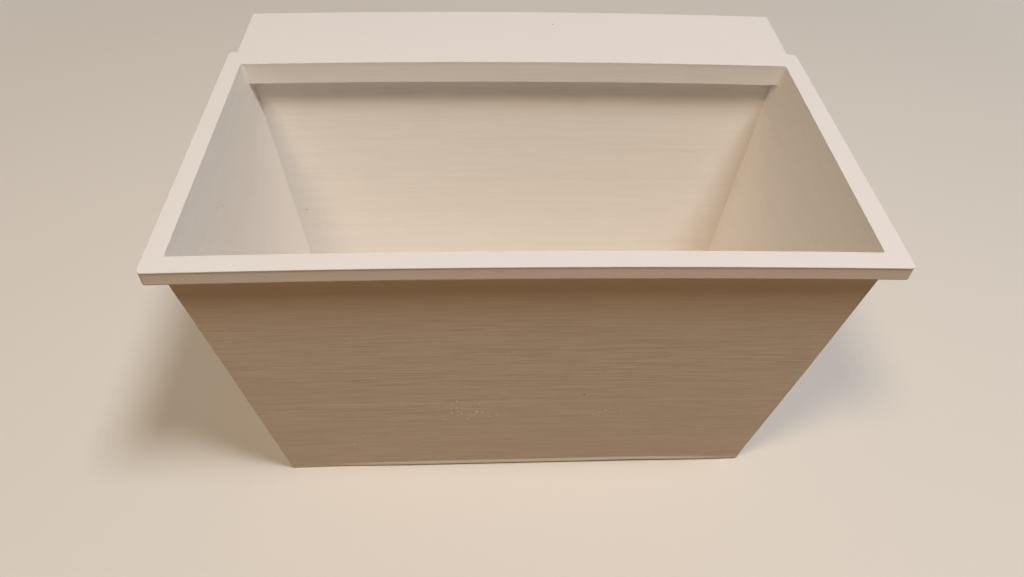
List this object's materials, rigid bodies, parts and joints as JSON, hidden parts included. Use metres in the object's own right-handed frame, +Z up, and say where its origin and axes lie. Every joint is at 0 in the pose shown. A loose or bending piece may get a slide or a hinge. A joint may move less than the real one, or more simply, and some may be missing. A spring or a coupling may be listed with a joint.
{
  "type": "storage box",
  "caption": "Open tapered storage tub with a flat lift-off rim frame and a wide shelf behind the rim, for keeping small things on a table or hung from a ledge.",
  "frame": {"origin": "middle of the tub's underside, on the surface the box stands on", "axes": "+Z up through the open top, +X to the right along the front, +Y to the back towards the shelf"},
  "size_m": [0.2, 0.1378, 0.115],
  "materials": {
    "tub": "warm white printed plastic, matte, with fine level layer lines",
    "rim_frame": "warm white printed plastic, smooth matte top, fine layer lines on its edges"
  },
  "bodies": {
    "tub": {"tub": "tub"},
    "rim_frame": {"rim_frame": "rim_frame"}
  },
  "joints": [
    {"name": "frame_lift", "type": "slide", "parent": "tub", "child": "rim_frame", "axis": [0, 0, 1], "range_m": [0, 0.02]}
  ]
}
